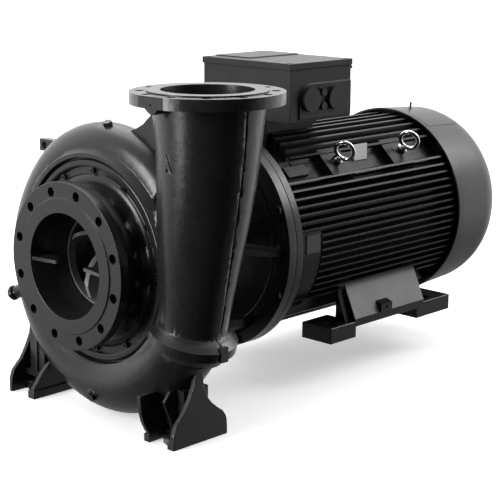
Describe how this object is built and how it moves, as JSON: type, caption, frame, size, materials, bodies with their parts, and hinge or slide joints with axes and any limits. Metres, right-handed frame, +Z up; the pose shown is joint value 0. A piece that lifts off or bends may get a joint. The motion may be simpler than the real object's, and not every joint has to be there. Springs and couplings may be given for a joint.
{
  "type": "close-coupled pump",
  "caption": "Close-coupled end-suction volute pump on a finned electric motor, with round suction and top discharge flanges, casing feet, motor feet and a terminal box.",
  "frame": {"origin": "centre of the suction flange's face", "axes": "+X along the shaft from the suction flange towards the motor, +Z up along the discharge flange's axis, +Y away from the discharge side"},
  "size_m": [1.4076, 0.8392, 0.826],
  "materials": {
    "dark_paint": "satin black-grey paint over casting",
    "motor_paint": "satin black paint",
    "cover_paint": "mid grey paint",
    "foot_paint": "grey paint",
    "steel": "turned steel",
    "zinc_steel": "dull zinc plated",
    "chrome_steel": "bright plated",
    "impeller_iron": "cast iron, lightly painted",
    "wear_iron": "machined iron",
    "seal_carbon": "carbon face",
    "elastomer": "black elastomer",
    "aluminium_cast": "die cast",
    "electrical_steel": "stacked laminations",
    "copper_winding": "varnished winding",
    "board": "moulded board",
    "brass": "brass",
    "plate_white": "pale printed plate without text",
    "plate_dark": "dark plate without text",
    "plastic_black": "black plastic"
  },
  "bodies": {
    "casing": {"volute_casing": "dark_paint", "suction_cover": "dark_paint", "gauge_plug": "zinc_steel", "suction_cover_screws": "zinc_steel", "casing_wear_ring": "wear_iron", "casing_cover": "dark_paint", "cover_seal_ring": "elastomer", "seal_stationary_ring": "seal_carbon", "lantern_bracket": "dark_paint", "lantern_bolts": "zinc_steel", "ring_bolts": "zinc_steel", "drive_end_shield": "motor_paint", "motor_frame": "motor_paint", "stator_core": "electrical_steel", "stator_winding": "copper_winding", "front_bearing_outer_race": "steel", "rear_bearing_outer_race": "steel", "front_bearing_cap": "motor_paint", "rear_end_shield": "motor_paint", "rear_bearing_cap": "motor_paint", "fan_cover": "cover_paint", "fan_cover_screws": "zinc_steel", "grease_nipple": "zinc_steel", "terminal_box_base": "motor_paint", "terminal_box_gasket": "elastomer", "terminal_box_lid": "motor_paint", "lid_screws": "zinc_steel", "gland_plugs": "plastic_black", "terminal_board": "board", "terminal_studs": "brass", "eye_bolts": "chrome_steel", "name_plate": "plate_white", "badge_plate": "plate_dark", "right_volute_foot": "dark_paint", "left_volute_foot": "dark_paint", "volute_foot_bolts": "zinc_steel", "right_motor_foot": "foot_paint", "left_motor_foot": "foot_paint", "motor_foot_bolts": "zinc_steel", "earth_terminal": "zinc_steel", "vent_plug": "zinc_steel", "drain_plug": "zinc_steel", "side_plug": "dark_paint"},
    "rotor": {"shaft": "steel", "impeller": "impeller_iron", "impeller_wear_ring": "wear_iron", "impeller_key": "steel", "impeller_washer": "zinc_steel", "impeller_bolt": "zinc_steel", "seal_rotating_ring": "seal_carbon", "seal_spring": "steel", "seal_drive_collar": "steel", "rotor_core": "electrical_steel", "rotor_end_rings": "aluminium_cast", "front_bearing_inner_race": "steel", "rear_bearing_inner_race": "steel", "fan": "plastic_black"},
    "front_balls": {"front_bearing_balls": "steel"},
    "rear_balls": {"rear_bearing_balls": "steel"}
  },
  "joints": [
    {"name": "rotor_spin", "type": "hinge", "parent": "casing", "child": "rotor", "pos_m": [0.15, 0, 0], "axis": [1, 0, 0], "continuous": true},
    {"name": "front_cage_spin", "type": "hinge", "parent": "casing", "child": "front_balls", "pos_m": [0.546, 0, 0], "axis": [1, 0, 0], "continuous": true},
    {"name": "rear_cage_spin", "type": "hinge", "parent": "casing", "child": "rear_balls", "pos_m": [1.144, 0, 0], "axis": [1, 0, 0], "continuous": true}
  ],
  "couplings": [
    {"joint": "front_cage_spin", "follows": "rotor_spin", "ratio": 0.4029},
    {"joint": "rear_cage_spin", "follows": "rotor_spin", "ratio": 0.4102}
  ]
}
